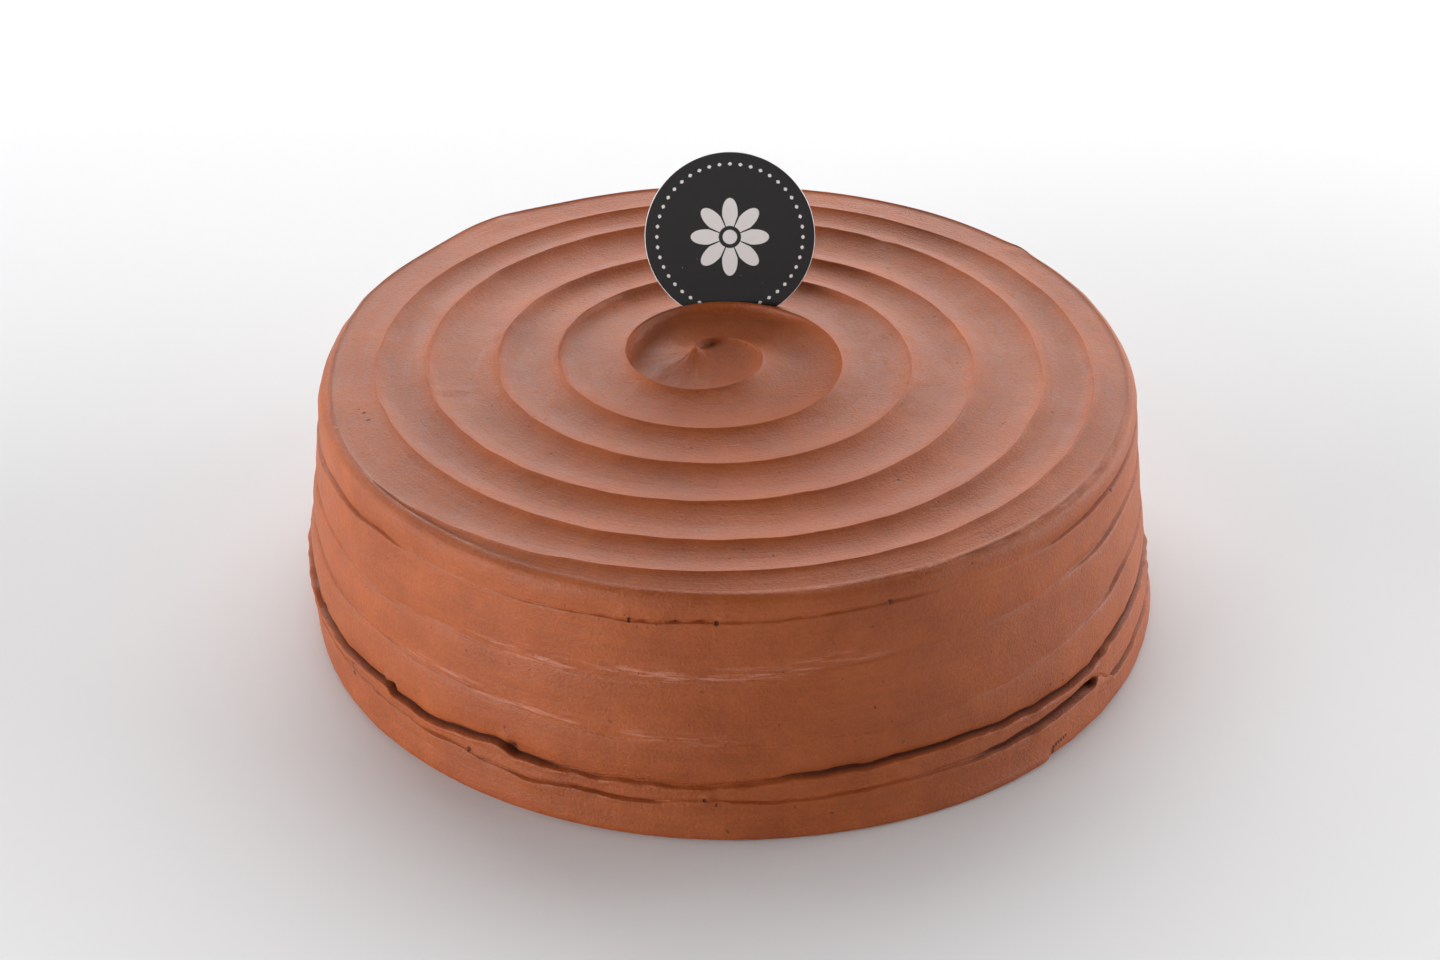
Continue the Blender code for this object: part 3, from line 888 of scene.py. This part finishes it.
def noise(material, vector, scale, detail, roughness=0.5):
    """Noise from 0 to 1 with cells one over scale wide."""
    inputs = [("Vector", vector), ("Scale", scale), ("Detail", detail), ("Roughness", roughness)]
    return add_node(material, "ShaderNodeTexNoise", inputs, noise_dimensions="3D").outputs["Fac"]


def remap(material, value, start, end, low, high, smooth=False):
    """Move value from between start and end to between low and high, and hold it there."""
    inputs = [(0, value), (1, start), (2, end), (3, low), (4, high)]
    kind = "SMOOTHSTEP" if smooth else "LINEAR"
    return add_node(material, "ShaderNodeMapRange", inputs, interpolation_type=kind).outputs[0]


def calculate(material, operation, first, second=0.0, third=0.0):
    """The result of one math operation."""
    inputs = [(0, first), (1, second), (2, third)]
    return add_node(material, "ShaderNodeMath", inputs, operation=operation).outputs[0]


def weighted(material, fields, shares):
    """The sum of the named fields, each times its share."""
    total = 0.0
    for name, share in shares:
        total = calculate(material, "MULTIPLY_ADD", fields[name], share, total)
    return total


def mix_colour(material, share, first, second):
    """The first colour, turning into the second as share goes from 0 to 1."""
    inputs = [(0, share), (6, first), (7, second)]
    return add_node(material, "ShaderNodeMix", inputs, data_type="RGBA").outputs[2]


def bump(material, height, distance):
    """Tilt the surface by height, a value whose step of 1 stands distance metres high."""
    inputs = [("Height", height), ("Distance", distance), ("Strength", 1.0)]
    return add_node(material, "ShaderNodeBump", inputs).outputs[0]


def pinhole_mask(material, place):
    """1 inside the pinholes of the top and the side, 0 away from them."""
    spots = []
    for angle, height, radius in SIDE_PINHOLES + FOOT_CRACK:
        out = float(flank_radius(np.array([angle]), np.array([height]))[0])
        spots.append((place, out, angle, height, radius))
    flat = scaled(material, place, (1.0, 1.0, 0.0))
    for out, angle, radius in TOP_PINHOLES:
        spots.append((flat, out, angle, 0.0, radius))
    mask = 0.0
    for position, out, angle, height, radius in spots:
        turned = math.radians(angle)
        centre = (out * math.cos(turned) * MM, out * math.sin(turned) * MM, height * MM)
        away = add_node(
            material, "ShaderNodeVectorMath", [(0, position), (1, centre)], operation="DISTANCE"
        ).outputs["Value"]
        hole = remap(material, away, PINHOLE_CORE * radius * MM, radius * MM, 1.0, 0.0, smooth=True)
        mask = calculate(material, "MAXIMUM", mask, hole)
    return mask


def chocolate_material():
    """Satin buttercream: mottled brown, streaks along the spatula's way and fine grain, with painted shade
    in its tiny holes, pinholes and deep side hollows and a painted highlight on its smears.
    """
    material, shader, links = new_material("chocolate_buttercream")
    place = add_node(material, "ShaderNodeTexCoord").outputs["Object"]
    spread = add_node(material, "ShaderNodeAttribute", attribute_name="spread").outputs["Vector"]
    shade_and_sheen = add_node(material, "ShaderNodeAttribute", attribute_name="shade_and_sheen").outputs["Fac"]
    pores = noise(material, place, 520.0, 1.0, 0.5)
    fields = {
        "mottle": noise(material, place, 42.0, 4.0, 0.55),
        "cloud": noise(material, place, 150.0, 3.0, 0.6),
        "streak": noise(material, scaled(material, spread, (2.6, 2.6, 0.55)), 1.0, 4.0, 0.6),
        "thread": noise(material, scaled(material, spread, (7.0, 7.0, 2.4)), 1.0, 3.0, 0.6),
        "grain": noise(material, place, 1100.0, 3.0, 0.65),
        "hole": remap(material, pores, 0.2, 0.27, 1.0, 0.0, smooth=True),
        "pit": pinhole_mask(material, place),
    }

    share = remap(material, weighted(material, fields, TONE_SHARES), 0.36, 0.64, 0.0, 1.0)
    colour = mix_colour(material, share, DARK_CHOCOLATE, PALE_CHOCOLATE)
    # Painted shade in the tiny pores
    hole_shade = calculate(material, "MULTIPLY", fields["hole"], HOLE_SHADE)
    colour = mix_colour(material, hole_shade, colour, PAINTED_SHADE_COLOUR)
    # Painted shade deep in the side's hollows
    hollow_shade = remap(material, shade_and_sheen, 0.0, 1.0, 0.0, HOLLOW_SHADE_STRENGTH)
    colour = mix_colour(material, hollow_shade, colour, PAINTED_SHADE_COLOUR)
    # Painted highlight: pale sheen on the smears above lines 2 and 3
    swept = noise(material, scaled(material, spread, (11.0, 11.0, 0.9)), 1.0, 4.0, 0.65)
    swept = remap(material, swept, 0.46, 0.66, 0.0, 0.9, smooth=True)
    smear = calculate(material, "MULTIPLY", swept, remap(material, shade_and_sheen, -1.0, 0.0, 1.0, 0.0))
    colour = mix_colour(material, smear, colour, SMEAR_SHEEN_COLOUR)
    # Painted shade in the pinholes and in the crack at the foot
    pit_shade = calculate(material, "MULTIPLY", fields["pit"], PIT_SHADE)
    colour = mix_colour(material, pit_shade, colour, PAINTED_SHADE_COLOUR)

    uneven = calculate(material, "ADD", fields["streak"], fields["cloud"])
    rough = calculate(material, "MAXIMUM", remap(material, uneven, 0.7, 1.3, 0.46, 0.6), shade_and_sheen)
    relief = bump(material, weighted(material, fields, RELIEF_SHARES), RELIEF_HEIGHT)
    links.new(colour, shader.inputs["Base Color"])
    links.new(rough, shader.inputs["Roughness"])
    links.new(relief, shader.inputs["Normal"])
    shader.inputs["Specular IOR Level"].default_value = 0.4
    shader.inputs["Subsurface Weight"].default_value = 0.1
    shader.inputs["Subsurface Radius"].default_value = (1.0, 0.4, 0.25)
    shader.inputs["Subsurface Scale"].default_value = 0.0012
    return material


def tag_material():
    """Charcoal print on card: a pale cut edge, a ring of dots and a plain rosette on the front."""
    material, shader, links = new_material("tag_print")

    def calc(operation, first, second=0.0, third=0.0):
        return calculate(material, operation, first, second, third)

    def ramp(value, edges, low, high):
        return remap(material, value, edges[0], edges[1], low, high)

    place = add_node(material, "ShaderNodeTexCoord").outputs["Object"]
    lowest, highest = (np.array(corner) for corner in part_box("topper"))
    middle = 0.5 * (lowest + highest)
    from_middle = [(0, place), (1, tuple(middle))]
    offset = add_node(material, "ShaderNodeVectorMath", from_middle, operation="SUBTRACT").outputs[0]
    turned = add_node(
        material, "ShaderNodeVectorRotate",
        [("Vector", offset), ("Angle", -math.radians(TAG_LEAN)), ("Axis", (-1.0, 0.0, 0.0))],
        rotation_type="AXIS_ANGLE",
    ).outputs[0]
    x, y, z = add_node(material, "ShaderNodeSeparateXYZ", [(0, turned)]).outputs
    radius = calc("SQRT", calc("MULTIPLY_ADD", x, x, calc("MULTIPLY", z, z)))
    around_tag = calc("ARCTAN2", z, x)

    dots = calc("COSINE", calc("MULTIPLY", around_tag, TAG_DOTS))
    along_ring = calc("MULTIPLY", calc("SUBTRACT", 1.0, dots), TAG_DOT_LENGTH)
    off_ring = calc("ABSOLUTE", calc("SUBTRACT", radius, TAG_DOT_RING))
    dot_mask = ramp(calc("ADD", off_ring, along_ring), TAG_DOT_EDGE, 1.0, 0.0)

    petals = calc("ABSOLUTE", calc("COSINE", calc("MULTIPLY", around_tag, TAG_PETALS / 2.0)))
    petal_edge = calc("MULTIPLY_ADD", petals, TAG_PETAL_LENGTH, TAG_PETAL_START)
    petal_mask = ramp(calc("SUBTRACT", petal_edge, radius), (0.0, TAG_PETAL_SOFT), 0.0, 1.0)
    petal_mask = calc("MULTIPLY", petal_mask, ramp(petals, TAG_PETAL_GAP, 0.0, 1.0))
    petal_mask = calc("MULTIPLY", petal_mask, ramp(radius, TAG_HEART_GAP, 0.0, 1.0))
    heart_mask = ramp(radius, TAG_HEART, 1.0, 0.0)

    printed = calc("MAXIMUM", calc("MAXIMUM", dot_mask, petal_mask), heart_mask)
    printed = calc("MULTIPLY", printed, ramp(y, TAG_FRONT, 1.0, 0.0))
    specks = remap(material, noise(material, place, 900.0, 1.0), 0.8, 0.84, 0.0, 0.5)
    off_edge = calc("ABSOLUTE", calc("SUBTRACT", radius, TAG_RADIUS))
    edge = ramp(off_edge, (TAG_EDGE - TAG_EDGE_SOFT, TAG_EDGE + TAG_EDGE_SOFT), 1.0, 0.0)
    pale = calc("MAXIMUM", calc("MAXIMUM", printed, specks), edge)
    fibre = noise(material, place, 2500.0, 2.0)
    black = mix_colour(material, fibre, TAG_BLACK, TAG_GREY)
    links.new(mix_colour(material, pale, black, TAG_WHITE), shader.inputs["Base Color"])
    links.new(remap(material, fibre, 0.3, 0.7, 0.5, 0.62), shader.inputs["Roughness"])
    links.new(bump(material, fibre, TAG_FIBRE_HEIGHT), shader.inputs["Normal"])
    shader.inputs["Specular IOR Level"].default_value = 0.25
    return material


def make_stage():
    """The plain floor, with painted light: its colour is paler in front and greyer behind."""
    floor_mesh = bpy.data.meshes.new("floor")
    work = bmesh.new()
    bmesh.ops.create_grid(work, x_segments=1, y_segments=1, size=FLOOR_SIZE)
    work.to_mesh(floor_mesh)
    work.free()
    floor = bpy.data.objects.new("floor", floor_mesh)
    bpy.context.scene.collection.objects.link(floor)
    material, shader, links = new_material("floor_painted_light")
    place = add_node(material, "ShaderNodeTexCoord").outputs["Object"]
    towards_back = add_node(material, "ShaderNodeSeparateXYZ", [(0, place)]).outputs["Y"]
    # Painted light: the floor's colour goes from pale in front to greyer behind
    floor_light_share = remap(material, towards_back, FLOOR_CHANGE[0], FLOOR_CHANGE[1], 0.0, 1.0, smooth=True)
    links.new(mix_colour(material, floor_light_share, FLOOR_FRONT_PAINTED, FLOOR_BACK_PAINTED), shader.inputs["Base Color"])
    shader.inputs["Roughness"].default_value = 0.6
    floor_mesh.materials.append(material)


def make_light(name, place, size, power):
    """A softbox that faces the cake."""
    data = bpy.data.lights.new(name, "AREA")
    data.shape = "RECTANGLE"
    data.size, data.size_y = size
    data.energy = power
    light = bpy.data.objects.new(name, data)
    light.location = place
    light.rotation_euler = (Vector(LIGHT_TARGET) - Vector(place)).to_track_quat("-Z", "Y").to_euler()
    bpy.context.scene.collection.objects.link(light)


def make_lights():
    """The faint white surroundings and the softboxes."""
    world = bpy.data.worlds.new("studio")
    world.use_nodes = True
    background = world.node_tree.nodes["Background"]
    background.inputs["Color"].default_value = (1, 1, 1, 1)
    background.inputs["Strength"].default_value = WORLD_STRENGTH
    bpy.context.scene.world = world
    for softbox in SOFTBOXES:
        make_light(*softbox)


def make_camera():
    """The camera in front of the cake."""
    data = bpy.data.cameras.new("camera")
    data.sensor_width = CAMERA_SENSOR
    data.lens = CAMERA_LENS
    data.clip_start = 0.01
    camera = bpy.data.objects.new("camera", data)
    camera.location = CAMERA_PLACE
    camera.rotation_euler = Euler((math.radians(90.0 - CAMERA_DOWN), 0.0, 0.0))
    bpy.context.scene.collection.objects.link(camera)
    bpy.context.scene.camera = camera


icing = make_icing()
icing.data.materials.append(chocolate_material())
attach(icing, "root")
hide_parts("cake")
topper = bpy.data.objects["topper"]
topper.data.materials.clear()
topper.data.materials.append(tag_material())
make_stage()
make_lights()
make_camera()
bpy.context.scene.view_settings.view_transform = "Standard"
